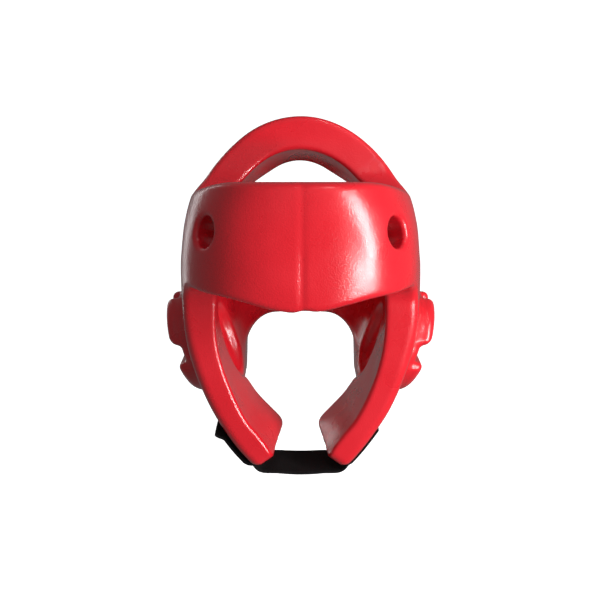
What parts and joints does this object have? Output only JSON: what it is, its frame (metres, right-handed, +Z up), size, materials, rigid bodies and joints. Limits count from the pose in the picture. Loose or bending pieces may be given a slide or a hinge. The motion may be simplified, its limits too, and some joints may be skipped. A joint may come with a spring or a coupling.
{
  "type": "taekwondo headgear",
  "caption": "Open-face padded headgear with a crown arch, cheek flaps, lobed ear bosses and an elastic chin strap, held up as on a head.",
  "frame": {"origin": "crown seat: the point of the arch's underside that rests on the top of the head", "axes": "+Z up, -Y the way the face looks, +X to the wearer's left"},
  "size_m": [0.2306, 0.2399, 0.2886],
  "materials": {
    "red_vinyl": "glossy dipped vinyl over foam, finely pebbled",
    "black_elastic": "woven elastic webbing",
    "black_loop": "napped loop fastener",
    "black_hook": "hook fastener",
    "grey_rivet": "dull nickel"
  },
  "bodies": {
    "root": {"shell": "red_vinyl", "chin_strap": "black_elastic", "loop_patch": "black_loop", "hook_patch": "black_hook", "strap_rivet": "grey_rivet"}
  },
  "joints": []
}
